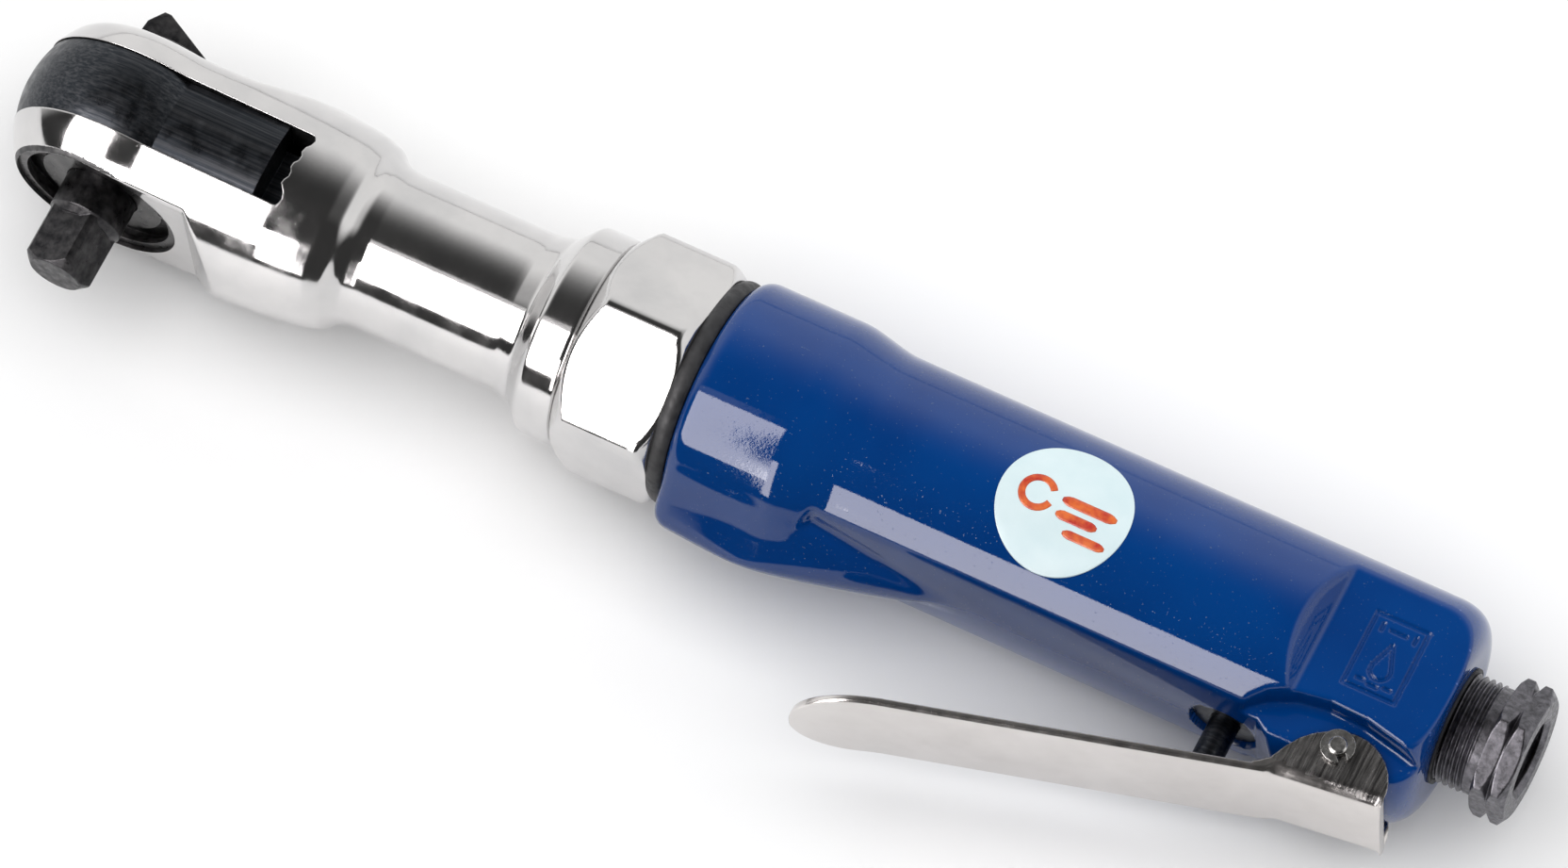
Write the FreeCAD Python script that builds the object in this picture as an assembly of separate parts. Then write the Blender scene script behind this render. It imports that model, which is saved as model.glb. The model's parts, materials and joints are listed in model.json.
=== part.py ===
import FreeCAD, Part
import math
import os

# Pneumatic ratchet wrench with a 3/8 inch square drive, lying on its side.
# Working frame: tool axis on X (drive axis at X = 0, air inlet at +X), the square
# points to -Y, the throttle lever hangs on the -Y side, +Z is the label side.
# At the end everything is shifted so that the origin is at the middle of the
# bottom of the whole tool's box.

V = FreeCAD.Vector

# ---------------------------------------------------------------- dimensions
SHIFT = V(-119.98, 12.155, 21.80)      # working frame -> stored frame

HEAD_R = 20.3            # ball-shaped head radius, centred on the drive axis
HEAD_CY = 0.4            # height of the ball's centre on that axis
HEAD_TOP = 14.2          # +Y face of the head
HEAD_BOT = -13.3         # -Y face of the head
SLOT_TOP = 7.3           # through-slot for the yoke
SLOT_BOT = -6.9
SLOT_END = 32.4
NECK_R = 13.95
FLANGE_X0, FLANGE_X1, FLANGE_R = 81.0, 88.4, 18.6
SKIRT_R = 17.6           # threaded skirts under the clamp nut
NUT_X0, NUT_X1 = 88.6, 107.0
NUT_AF = 38.3
NUT_CORNER_R = 21.8
SEAL_X0, SEAL_X1 = 107.0, 110.0
COLLAR_R = 21.4
GRIP_R = 19.65
GRIP_FLAT_Y = -15.5
GRIP_END = 246.0
MOTOR_BORE = 15.0
SQ = 9.5                 # square drive across flats
SQ_TIP = -28.0
SQ_TOP = -17.0
SQ_TURN = -20.0          # how far the square is turned at rest, degrees
SWING = 3.0              # yoke swing each way, degrees
CRANK_E = 1.7            # crank throw
PIN_X, PIN_Y, PIN_R = 232.5, -15.6, 1.6
PEDAL_W = 11.0           # half width of the throttle lever
PEDAL_T = 1.6
VALVE_X = 212.0
STEM_R = 2.6
MOD = 0.65               # planetary gear module
Z_SUN, Z_PLANET, Z_RING = 12, 15, 42
INLET_R = 6.4            # 1/4 inch pipe thread bore in the inlet bushing
LABEL_X, LABEL_Y, LABEL_R = 175.3, 0.2, 11.5

nodes = {}


# ------------------------------------------------------------------- helpers
def cyl(axis, r, a, b, p=0.0, q=0.0):
    """Cylinder along an axis from a to b. p, q are the other two coordinates in X, Y, Z order."""
    if axis == "x":
        return Part.makeCylinder(r, b - a, V(a, p, q), V(1, 0, 0))
    if axis == "y":
        return Part.makeCylinder(r, b - a, V(p, a, q), V(0, 1, 0))
    return Part.makeCylinder(r, b - a, V(p, q, a), V(0, 0, 1))


def cone(axis, r0, r1, a, b, p=0.0, q=0.0):
    if axis == "x":
        return Part.makeCone(r0, r1, b - a, V(a, p, q), V(1, 0, 0))
    if axis == "y":
        return Part.makeCone(r0, r1, b - a, V(p, a, q), V(0, 1, 0))
    return Part.makeCone(r0, r1, b - a, V(p, q, a), V(0, 0, 1))


def box(x0, x1, y0, y1, z0, z1):
    return Part.makeBox(x1 - x0, y1 - y0, z1 - z0, V(x0, y0, z0))


def prism(pts, plane, a, b):
    """Extruded polygon. plane 'xy' runs along Z from a to b, 'xz' along Y, 'yz' along X."""
    if plane == "xy":
        v = [V(p[0], p[1], a) for p in pts]
        d = V(0, 0, b - a)
    elif plane == "xz":
        v = [V(p[0], a, p[1]) for p in pts]
        d = V(0, b - a, 0)
    else:
        v = [V(a, p[0], p[1]) for p in pts]
        d = V(b - a, 0, 0)
    return Part.Face(Part.makePolygon(v + [v[0]])).extrude(d)


def spline_prism(segs, a, b):
    """Extrude along Z a closed XY outline made of lines and splines.
    segs: list of point lists; two points make a line, more make a spline."""
    e = []
    for s in segs:
        v = [V(p[0], p[1], a) for p in s]
        if len(v) == 2:
            e.append(Part.LineSegment(v[0], v[1]).toShape())
        else:
            c = Part.BSplineCurve()
            c.interpolate(v)
            e.append(c.toShape())
    return Part.Face(Part.Wire(e)).extrude(V(0, 0, b - a))


def revolve_x(segs):
    """Revolve a closed outline about the X axis. segs as in spline_prism, points are (x, r)."""
    e = []
    for s in segs:
        v = [V(p[0], p[1], 0) for p in s]
        if len(v) == 2:
            e.append(Part.LineSegment(v[0], v[1]).toShape())
        elif len(v) == 3:
            e.append(Part.Arc(v[0], v[1], v[2]).toShape())
        else:
            c = Part.BSplineCurve()
            c.interpolate(v)
            e.append(c.toShape())
    return Part.Face(Part.Wire(e)).revolve(V(0, 0, 0), V(1, 0, 0), 360)


def chamfer(shape, test, size):
    e = [x for x in shape.Edges if test(x)]
    if not e:
        return shape
    try:
        s = shape.makeChamfer(size, e)
        return s if s.isValid() else shape
    except Exception:
        return shape


def fillet(shape, test, size):
    e = [x for x in shape.Edges if test(x)]
    if not e:
        return shape
    for k in (1.0, 0.7, 0.4):
        try:
            s = shape.makeFillet(size * k, e)
            if s.isValid():
                return s
        except Exception:
            pass
    return shape


def hexagon(af, a, b, turn=0.0):
    r = af / math.sqrt(3)
    pts = [(r * math.cos(math.radians(60 * i + turn)), r * math.sin(math.radians(60 * i + turn))) for i in range(6)]
    return prism(pts, "yz", a, b)


def gear_outline(m, z, r_tip, r_root, turn=0.0):
    """Straight-flanked tooth outline, (y, z) points, a tooth centred on angle turn."""
    rp = m * z / 2.0
    p = 2 * math.pi / z
    out = []
    for i in range(z):
        c = turn + i * p
        for r, h in ((r_root, -0.27), (rp, -0.20), (r_tip, -0.10), (r_tip, 0.10), (rp, 0.20), (r_root, 0.27)):
            out.append((r * math.cos(c + h * p), r * math.sin(c + h * p)))
    return out


def hull(pts):
    """Flat-faced convex solid around points given for +Z and mirrored to -Z."""
    p = [V(x, y, z * k) for x, y, z in pts for k in (1, -1)]
    planes, faces = [], []
    n = len(p)
    for i in range(n):
        for j in range(i + 1, n):
            for k in range(j + 1, n):
                m = (p[j] - p[i]).cross(p[k] - p[i])
                if m.Length < 1e-6:
                    continue
                m.normalize()
                d = [(q - p[i]).dot(m) for q in p]
                if max(d) > 1e-4 and min(d) < -1e-4:
                    continue
                if max(d) > 1e-4:
                    m = m * -1
                w = m.dot(p[i])
                if any((a - m).Length < 1e-4 and abs(b - w) < 1e-3 for a, b in planes):
                    continue
                planes.append((m, w))
                on = [q for q in p if abs(q.dot(m) - w) < 1e-3]
                c = V(0, 0, 0)
                for q in on:
                    c = c + q
                c = c * (1.0 / len(on))
                u = (on[0] - c).normalize()
                v = m.cross(u)
                on.sort(key=lambda q: math.atan2((q - c).dot(v), (q - c).dot(u)))
                faces.append(Part.Face(Part.makePolygon(on + [on[0]])))
    return Part.makeSolid(Part.makeShell(faces))


def put(name, shape):
    if shape.ShapeType == "Compound" and len(shape.Solids) == 1:
        shape = shape.Solids[0]
    nodes[name] = shape


def turned(shape, deg, base=V(0, 0, 0), axis=V(0, 1, 0)):
    s = shape.copy()
    s.rotate(base, axis, deg)
    return s


# ----------------------------------------------------------- ratchet housing
# ball head, barrel, neck, flange and threaded skirt: one turned and milled forging
barrel = revolve_x([
    [(0, 0), (0, 19.8)],
    [(0, 19.8), (10, 19.35), (20, 18.95), (26, 18.75), (32, 18.4), (38, 17.85), (41, 17.4)],
    [(41, 17.4), (43.6, 16.5), (45.0, 15.1)],
    [(45.0, 15.1), (46.3, 14.3), (48.6, NECK_R)],
    [(48.6, NECK_R), (75.0, NECK_R)],
    [(75.0, NECK_R), (78.6, 14.9), (81.2, 17.9)],
    [(81.2, 17.9), (82.0, FLANGE_R)],
    [(82.0, FLANGE_R), (FLANGE_X1 - 0.6, FLANGE_R)],
    [(FLANGE_X1 - 0.6, FLANGE_R), (FLANGE_X1, FLANGE_R - 0.6)],
    [(FLANGE_X1, FLANGE_R - 0.6), (FLANGE_X1, SKIRT_R)],
    [(FLANGE_X1, SKIRT_R), (97.6, SKIRT_R)],
    [(97.6, SKIRT_R), (97.6, 0)],
    [(97.6, 0), (0, 0)],
])
rh = Part.makeSphere(HEAD_R, V(0, HEAD_CY, 0)).fuse(barrel).removeSplitter()
# milled faces of the head: a smooth rise to the barrel above, a straight ramp below
above = spline_prism([
    [(-30, HEAD_TOP), (11, HEAD_TOP)],
    [(11, HEAD_TOP), (14.5, 14.35), (18, 15.0), (22, 16.4), (26, 17.9), (31, 19.6)],
    [(31, 19.6), (31, 40)], [(31, 40), (-30, 40)], [(-30, 40), (-30, HEAD_TOP)]], -40, 40)
below = prism([(-30, HEAD_BOT), (17.8, HEAD_BOT), (26.0, -19.8), (26.0, -40), (-30, -40)], "xy", -40, 40)
rh = rh.cut(above).cut(below)
rh = fillet(rh, lambda e: abs(e.BoundBox.YMin - HEAD_TOP) < 0.02 and abs(e.BoundBox.YMax - HEAD_TOP) < 0.02
            and e.Length > 20, 2.4)
# through slot for the yoke, its end as cast
slot = box(-40, SLOT_END, SLOT_BOT, SLOT_TOP, -40, 40)
rh = rh.cut(slot)
# pocket for the tines of the yoke and the crank, then the crankshaft bore
rh = rh.cut(box(SLOT_END - 1, 39.4, -5.7, 5.7, -13.3, 13.3))
rh = rh.cut(cyl("x", 9.4, 38.9, 66.0))
rh = rh.cut(cyl("x", 11.0, 65.9, 76.0))
rh = rh.cut(cyl("x", 13.2, 75.9, 82.0))
rh = rh.cut(cyl("x", 15.9, 81.9, 99.0))
# lower pocket with a ring groove, bushing bore, upper journal bore, knob hole
rh = rh.cut(cyl("y", 15.0, HEAD_BOT - 1, -9.8))
rh = rh.cut(cyl("y", 15.6, -12.5, -11.4))
rh = rh.cut(cyl("y", 12.4, -9.9, SLOT_BOT + 1))
rh = rh.cut(cyl("y", 9.0, SLOT_TOP - 1, 11.2))
rh = rh.cut(cyl("y", 6.2, 11.1, 20.0))
put("ratchet_housing", rh)

# clamp nut: hexagon with turned corners, front and rear bevels
nut = hexagon(NUT_AF, NUT_X0 - 1, NUT_X1 + 1, 90.0)
nut = nut.common(revolve_x([
    [(NUT_X0, 16.0), (NUT_X0, 18.9)], [(NUT_X0, 18.9), (NUT_X0 + 2.4, NUT_CORNER_R)],
    [(NUT_X0 + 2.4, NUT_CORNER_R), (NUT_X1 - 1.4, NUT_CORNER_R)],
    [(NUT_X1 - 1.4, NUT_CORNER_R), (NUT_X1, 19.9)], [(NUT_X1, 19.9), (NUT_X1, 16.0)], [(NUT_X1, 16.0), (NUT_X0, 16.0)]]))
nut = nut.cut(cyl("x", SKIRT_R, NUT_X0 - 1, NUT_X1 + 1))
put("clamp_nut", nut)

# seal ring between the nut and the grip
put("seal_ring", revolve_x([
    [(SEAL_X0, SKIRT_R), (SEAL_X0, 19.5)], [(SEAL_X0, 19.5), (SEAL_X0 + 1.5, 20.1), (SEAL_X1, 19.5)],
    [(SEAL_X1, 19.5), (SEAL_X1, SKIRT_R)], [(SEAL_X1, SKIRT_R), (SEAL_X0, SKIRT_R)]]))

# ------------------------------------------------------------- motor housing
grip = revolve_x([
    [(SEAL_X1, 0), (SEAL_X1, 20.0)],
    [(SEAL_X1, 20.0), (SEAL_X1 + 0.8, 20.75), (SEAL_X1 + 3.2, COLLAR_R)],
    [(SEAL_X1 + 3.2, COLLAR_R), (129.0, COLLAR_R)],
    [(129.0, COLLAR_R), (131.0, 21.25), (133.5, 20.4), (136.0, 19.8), (138.5, GRIP_R)],
    [(138.5, GRIP_R), (240.5, GRIP_R)],
    [(240.5, GRIP_R), (244.2, 18.3), (GRIP_END, 15.4)],
    [(GRIP_END, 15.4), (GRIP_END, 0)],
    [(GRIP_END, 0), (SEAL_X1, 0)],
])
# belly under the collar: flat sole that runs back and up into the grip's flat
keel = hull([(SEAL_X1, -13.0, 16.9), (SEAL_X1, -23.8, 9.2), (SEAL_X1, -25.2, 6.4), (122.0, -13.0, 16.9),
             (127.5, -24.6, 9.2), (127.5, -25.9, 6.4), (162.5, -16.5, 7.0), (158.5, -16.5, 9.0), (157.0, -12.0, 9.6)])
# underside of the grip: a low-crowned flat between two crisp edges
grip = grip.cut(prism([(150.0, -30), (150.0, GRIP_FLAT_Y), (218.0, GRIP_FLAT_Y), (224.5, -19.8), (224.5, -30)], "xy", -30, 30)
                .cut(cyl("x", 52.8, 140.0, 230.0, 35.9, 0)))
grip = grip.fuse(keel)
# sunk side panels of the rear block, with a sloping step at their front
SCOOP = [(-19.5, -6.0), (-18.6, -2.8), (-16.6, 0.6), (-14.0, 2.8), (-9.5, 4.9), (-4.1, 5.75), (2.5, 5.5), (9.0, 4.1),
         (15.5, 2.3), (19.0, 1.3)]
for s in (1, -1):
    grip = grip.cut(prism([(216.6, s * 21.6), (221.8, s * 14.3), (260, s * 14.3), (260, s * 30), (216.6, s * 30)],
                          "xz", -30, 30))
    # scooped flank below, where the ears of the lever sit
    c = [(PIN_X + u, PIN_Y + v) for u, v in SCOOP]
    grip = grip.cut(spline_prism([c, [c[-1], (260, c[-1][1])], [(260, c[-1][1]), (260, -40)], [(260, -40), (c[0][0], -40)],
                                  [(c[0][0], -40), c[0]]], min(s * 9.2, s * 30), max(s * 9.2, s * 30)))
    # outline of the lubrication mark field: a shallow debossed frame
    fr = box(229.0, 238.2, -6.0, 7.4, min(s * 13.9, s * 16), max(s * 13.9, s * 16)).cut(
        box(229.5, 237.7, -5.5, 6.9, -30, 30))
    if s > 0:
        grip = grip.cut(fr)
        drop = cyl("z", 1.9, 13.8, 16, 233.6, -1.2).fuse(
            prism([(231.95, -0.2), (235.25, -0.2), (233.6, 4.2)], "xy", 13.8, 16))
        grip = grip.cut(drop)
# threaded spigot for the nut
grip = grip.fuse(cyl("x", SKIRT_R, 98.4, SEAL_X1 + 1))
grip = grip.removeSplitter()
# motor bore, plenum, valve chest, passages, inlet thread, lever pin hole
grip = grip.cut(cyl("x", MOTOR_BORE, 98.0, 166.0))
grip = grip.cut(cyl("x", 11.0, 165.9, 171.0))
grip = grip.cut(cyl("x", 2.6, 170.5, 207.5, -7.6, 0))
grip = grip.cut(cyl("y", 6.0, -30, 12.6, VALVE_X, 0))
grip = grip.cut(cyl("x", 5.0, 216.0, 231.0))
grip = grip.cut(cyl("x", 9.35, 226.0, 260.0))
grip = grip.cut(cyl("z", PIN_R, -30, 30, PIN_X, PIN_Y))
# exhaust slots in the far flank of the belly
for x in (114.5, 119.0, 123.5, 128.0):
    grip = grip.cut(box(x - 0.9, x + 0.9, -20.0, -12.5, -22.0, -8.0))
put("motor_housing", grip)

# self-adhesive round label on the grip
lab = cyl("x", GRIP_R + 0.25, LABEL_X - 20, LABEL_X + 20).cut(cyl("x", GRIP_R, LABEL_X - 21, LABEL_X + 21))
put("label_disc", lab.common(cyl("z", LABEL_R, 2, 30, LABEL_X, LABEL_Y)))

# ------------------------------------------------------------- inlet bushing
ib = cyl("x", 9.35, 226.0, 254.5)
hx = hexagon(21.4, 253.7, 260.0, 30.3).common(revolve_x([
    [(253.7, 0), (253.7, 11.3)], [(253.7, 11.3), (254.5, 12.15)], [(254.5, 12.15), (255.85, 12.15)],
    [(255.85, 12.15), (256.7, 10.85)], [(256.7, 10.85), (257.55, 12.15)], [(257.55, 12.15), (258.9, 12.15)],
    [(258.9, 12.15), (260.0, 10.4)], [(260.0, 10.4), (260.0, 0)], [(260.0, 0), (253.7, 0)]]))
ib = ib.fuse(hx)
for gx in (246.6, 248.2, 249.8):
    ib = ib.cut(cyl("x", 9.6, gx, gx + 0.7).cut(cyl("x", 8.8, gx - 1, gx + 2)))
ib = ib.cut(cyl("x", INLET_R, 243.0, 261.0))
ib = ib.cut(cone("x", INLET_R, INLET_R + 0.9, 259.1, 260.0).fuse(cyl("x", INLET_R + 0.9, 260.0, 261.0)))
ib = ib.cut(cyl("x", 4.6, 225.0, 244.0))
put("inlet_bushing", ib)
scr = cyl("x", 4.55, 241.6, 242.2)
for i in range(6):
    a = math.radians(60 * i)
    scr = scr.cut(cyl("x", 0.9, 241, 243, 2.8 * math.cos(a), 2.8 * math.sin(a)))
scr = scr.cut(cyl("x", 0.9, 241, 243))
put("inlet_screen", scr)
put("bushing_gasket", cyl("x", 10.3, 246.0, 246.5).cut(cyl("x", 9.35, 245, 248)))

# ------------------------------------------------------------------ throttle
vb = cyl("y", 6.0, -15.6, -3.0, VALVE_X, 0)
vb = vb.cut(cyl("y", 3.3, -10.0, -2.0, VALVE_X, 0)).cut(cyl("y", STEM_R + 0.05, -16, -9.0, VALVE_X, 0))
vb = vb.cut(cyl("x", 2.2, VALVE_X - 8, VALVE_X, -7.6, 0))
put("valve_bushing", vb)
# inner surface of the lever at rest: a straight run, a flatter root and a turned-down tip
PEDAL_PTS = [(243.2, -20.7), (224.0, -23.0), (160.0, -40.4), (147.2, -45.0)]
def pedal_y(x):
    p = PEDAL_PTS
    for (x0, y0), (x1, y1) in zip(p, p[1:]):
        if x1 <= x <= x0:
            return y0 + (y1 - y0) * (x - x0) / (x1 - x0)
stem_foot = pedal_y(VALVE_X) + 0.75
stem = cyl("y", STEM_R, stem_foot + STEM_R, -2.4, VALVE_X, 0).fuse(
    Part.makeSphere(STEM_R, V(VALVE_X, stem_foot + STEM_R, 0)))
stem = stem.fuse(cyl("y", 1.5, -2.5, 3.0, VALVE_X, 0)).removeSplitter()
put("valve_stem", stem)
put("valve_plug", cyl("y", 4.6, -1.0, 1.4, VALVE_X, 0).cut(cyl("y", 1.5, -3, 5, VALVE_X, 0)))
put("valve_seal", cyl("y", 4.4, -2.4, -1.0, VALVE_X, 0).cut(cyl("y", 1.5, -3, 5, VALVE_X, 0)))
sp = None
for i in range(7):
    t = Part.makeTorus(3.3, 0.4, V(VALVE_X, 1.85 + i * 1.72, 0), V(0, 1, 0))
    sp = t if sp is None else sp.fuse(t)
put("valve_spring", sp)
# lever: pressed plate with two rolled long edges and an ear each side of the pin
def offset(pts, t):
    return [(x + 0.0, y - t) for x, y in pts]
inner = PEDAL_PTS
t = PEDAL_T
outer = offset(inner, t * 1.035)
plate = spline_prism([[inner[0], inner[1]], [inner[1], inner[2]], [inner[2], inner[3]],
                      [inner[3], outer[3]], [outer[3], outer[2]], [outer[2], outer[1]],
                      [outer[1], outer[0]], [outer[0], inner[0]]], -PEDAL_W, PEDAL_W)
# rounded tip in plan
plan = prism([(250, -20), (250, 20), (158, 20), (158, -20)], "xz", -60, 0).fuse(
    cyl("y", PEDAL_W, -60, 0, 158.0, 0))
plate = plate.common(plan)
plate = fillet(plate, lambda e: abs(abs(e.CenterOfMass.z) - PEDAL_W) < 0.02 and e.BoundBox.YMax < -21.5
               and e.BoundBox.XLength > 15 and e.CenterOfMass.y < pedal_y(max(147.3, min(243, e.CenterOfMass.x))) - 1.0, 1.1)
EAR = [(-11.6, -7.6), (-9.2, -6.0), (-7.8, -3.05), (-4.8, 0.7), (-2.0, 2.6), (2.0, 3.5), (5.2, 2.9), (8.1, 1.1), (10.0, -1.8), (10.7, -5.2)]
ear_top = [(PIN_X + u, PIN_Y + v) for u, v in EAR]
ear_seg = [ear_top, [ear_top[-1], (PIN_X + 10.7, PIN_Y - 6.4)],
           [(PIN_X + 10.7, PIN_Y - 6.4), (PIN_X - 11.6, PIN_Y - 9.1)], [(PIN_X - 11.6, PIN_Y - 9.1), ear_top[0]]]
ears = None
for s in (1, -1):
    a, b = sorted((s * (PEDAL_W - PEDAL_T), s * PEDAL_W))
    e1 = spline_prism(ear_seg, a, b)
    ears = e1 if ears is None else ears.fuse(e1)
pedal = plate.fuse(ears).removeSplitter()
pedal = pedal.cut(cyl("z", PIN_R + 0.05, -30, 30, PIN_X, PIN_Y))
put("throttle_lever", pedal)
pin = cyl("z", PIN_R, -12.6, 12.6, PIN_X, PIN_Y)
for s in (1, -1):
    a, b = sorted((s * 11.2, s * 12.0))
    pin = pin.cut(cyl("z", 3, a, b, PIN_X, PIN_Y).cut(cyl("z", 1.2, -20, 20, PIN_X, PIN_Y)))
pin = chamfer(pin, lambda e: abs(abs(e.CenterOfMass.z) - 12.6) < 0.01, 0.3)
put("lever_pin", pin)
clips = None
for s in (1, -1):
    a, b = sorted((s * 11.2, s * 12.0))
    c = cyl("z", 2.9, a, b, PIN_X, PIN_Y).cut(cyl("z", 1.2, -20, 20, PIN_X, PIN_Y))
    c = c.cut(turned(box(PIN_X, PIN_X + 5, PIN_Y - 0.75, PIN_Y + 0.75, -20, 20), -48, V(PIN_X, PIN_Y, 0), V(0, 0, 1)))
    clips = c if clips is None else Part.Compound([clips, c])
put("lever_pin_clips", clips)

# --------------------------------------------------------------------- motor
mc = cyl("x", MOTOR_BORE, 107.0, 155.0).cut(cyl("x", 12.9, 106, 156, 0.9, 0))
for x in (118.0, 124.0, 130.0, 136.0, 142.0):
    mc = mc.cut(cyl("y", 1.6, -20, 0, x, 0))
mc = mc.cut(cyl("x", 0.8, 150.0, 156.0, 0, -13.3))
put("motor_cylinder", mc)
fe = cyl("x", MOTOR_BORE, 99.4, 107.0).cut(cyl("x", 6.5, 99, 105.0)).cut(cyl("x", 3.9, 104, 108))
put("front_end_plate", fe)
re_ = cyl("x", MOTOR_BORE, 155.0, 162.0).cut(cyl("x", 5.5, 157.0, 163)).cut(cyl("x", 3.3, 154, 158))
re_ = re_.cut(cyl("x", 0.8, 154.0, 158.0, 0, -13.3))
for a in (60, 90, 120):
    re_ = re_.cut(cyl("x", 1.3, 154, 163, 9.5 * math.sin(math.radians(a)), 9.5 * math.cos(math.radians(a))))
put("rear_end_plate", re_)
put("cylinder_dowel", cyl("x", 0.8, 150.4, 157.6, 0, -13.3))
put("spring_washer", cyl("x", 14.6, 162.0, 163.0).cut(cyl("x", 11.2, 161, 164)))


def bearing(ro, ri, a, b):
    """Sealed ball bearing: ring with a shallow shield recess each side."""
    s = cyl("x", ro, a, b).cut(cyl("x", ri, a - 1, b + 1))
    rm0, rm1 = ri + (ro - ri) * 0.3, ri + (ro - ri) * 0.72
    for u, w in ((a - 1, a + 0.4), (b - 0.4, b + 1)):
        s = s.cut(cyl("x", rm1, u, w).cut(cyl("x", rm0, u - 1, w + 1)))
    return s


put("front_rotor_bearing", bearing(6.5, 3.05, 99.8, 104.8))
put("rear_rotor_bearing", bearing(5.5, 2.55, 157.4, 161.6))
# rotor: slotted drum, both journals and the sun pinion in one piece
R_ROT = 11.9
rot = cyl("x", R_ROT, 107.2, 154.8)
for i in range(5):
    a = 72.0 * i + 18
    sl = box(100, 160, 5.6, 20, -0.8, 0.8)
    rot = rot.cut(turned(sl, a, V(0, 0, 0), V(1, 0, 0)))
rot = rot.fuse(cyl("x", 3.0, 96.4, 107.3)).fuse(cyl("x", 2.5, 154.7, 160.6))
sun = prism(gear_outline(MOD, Z_SUN, MOD * Z_SUN / 2 + 0.55, MOD * Z_SUN / 2 - 0.75), "yz", 85.6, 96.5)
rot = rot.fuse(sun)
put("rotor", rot)
bl = []
for i in range(5):
    b = box(107.3, 154.7, 6.2, 11.8, -0.75, 0.75)
    bl.append(turned(b, 72.0 * i + 18, V(0, 0, 0), V(1, 0, 0)))
put("rotor_blades", Part.Compound(bl))

# ------------------------------------------------------------ planetary gear
r_ring = MOD * Z_RING / 2
rg_in = []
pitch = 2 * math.pi / Z_RING
for i in range(Z_RING):
    c = i * pitch
    # gap centred on angle 0: outline of the space inside the ring
    for r, h in ((r_ring - 0.5, -0.30), (r_ring, -0.29), (r_ring + 0.75, -0.17), (r_ring + 0.75, 0.17),
                 (r_ring, 0.29), (r_ring - 0.5, 0.30 + 0.06)):
        rg_in.append((r * math.cos(c + h * pitch), r * math.sin(c + h * pitch)))
rg_in = []
for i in range(Z_RING):
    c = i * pitch
    for r, h in ((r_ring - 0.5, -0.40), (r_ring, -0.30), (r_ring + 0.75, -0.20), (r_ring + 0.75, 0.20),
                 (r_ring, 0.30), (r_ring - 0.5, 0.40)):
        rg_in.append((r * math.cos(c + h * pitch), r * math.sin(c + h * pitch)))
ring = cyl("x", 15.9, 84.6, 97.4).cut(prism(rg_in, "yz", 84, 98))
put("ring_gear", ring)
R_PL = MOD * (Z_SUN + Z_PLANET) / 2
pg = prism(gear_outline(MOD, Z_PLANET, MOD * Z_PLANET / 2 + 0.55, MOD * Z_PLANET / 2 - 0.75), "yz", 86.2, 94.2)
pg = pg.cut(cyl("x", 1.8, 80, 100))
pg.translate(V(0, R_PL, 0))
pins = []
for i, n in enumerate("abc"):
    put("planet_gear_" + n, turned(pg, 120.0 * i, V(0, 0, 0), V(1, 0, 0)))
    pins.append(turned(cyl("x", 1.75, 79.0, 95.0, R_PL, 0), 120.0 * i, V(0, 0, 0), V(1, 0, 0)))
put("planet_pins", Part.Compound(pins))

# crankshaft: carrier disc, long journal, web and eccentric pin
cs = cyl("x", 12.4, 77.0, 84.0)
cs = cs.fuse(cyl("x", 6.0, 42.0, 77.1)).fuse(cyl("x", 8.6, 39.7, 43.2)).fuse(cyl("x", 2.0, 31.0, 40.0, 0, CRANK_E))
cs = cs.fuse(cyl("x", 7.4, 63.0, 65.8))
for i in range(3):
    cs = cs.cut(turned(cyl("x", 1.75, 78.9, 90.0, R_PL, 0), 120.0 * i, V(0, 0, 0), V(1, 0, 0)))
cs = cs.cut(cyl("x", 4.9, 80.0, 90.0))
put("crankshaft", cs)
put("crankshaft_bearing", bearing(11.0, 6.05, 66.0, 75.6))
put("neck_bushing", cyl("x", 9.4, 46.0, 60.0).cut(cyl("x", 6.05, 45, 61)))
idl = revolve_x([[(31.6, 2.05), (31.6, 2.9)], [(31.6, 2.9), (34.8, 3.3), (38.0, 2.9)], [(38.0, 2.9), (38.0, 2.05)],
                 [(38.0, 2.05), (31.6, 2.05)]])
idl.translate(V(0, 0, CRANK_E))
put("crank_idler", idl)

# ---------------------------------------------------------------------- yoke
yk = Part.makeSphere(HEAD_R - 0.25, V(0, HEAD_CY, 0)).common(box(-40, 40, SLOT_BOT + 0.12, SLOT_TOP - 0.12, -40, 40))
tail = cyl("x", 17.9, -2, 29.1).common(box(-2, 29.1, SLOT_BOT + 0.12, SLOT_TOP - 0.12, -18.2, 18.2))
yk = yk.fuse(tail)
yk = yk.cut(box(28.0, 40, -20, 20, -30, 30).cut(cyl("y", 34.0, -30, 30, -4.8, 0)))
tines = box(26.0, 37.2, -5.0, 5.0, 7.0, 10.8).fuse(box(26.0, 37.2, -5.0, 5.0, -10.8, -7.0))
yk = yk.cut(box(29.3, 45, -20, 20, -30, 30)).fuse(tines)
N_YT = 36
pts = []
py = 2 * math.pi / N_YT
for i in range(N_YT):
    pts.append((12.5 * math.cos(i * py), 12.5 * math.sin(i * py)))
    pts.append((11.7 * math.cos((i + 0.5) * py), 11.7 * math.sin((i + 0.5) * py)))
yk = yk.cut(prism(pts, "xz", -20, 20)).removeSplitter()
put("ratchet_yoke", yk)

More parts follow.
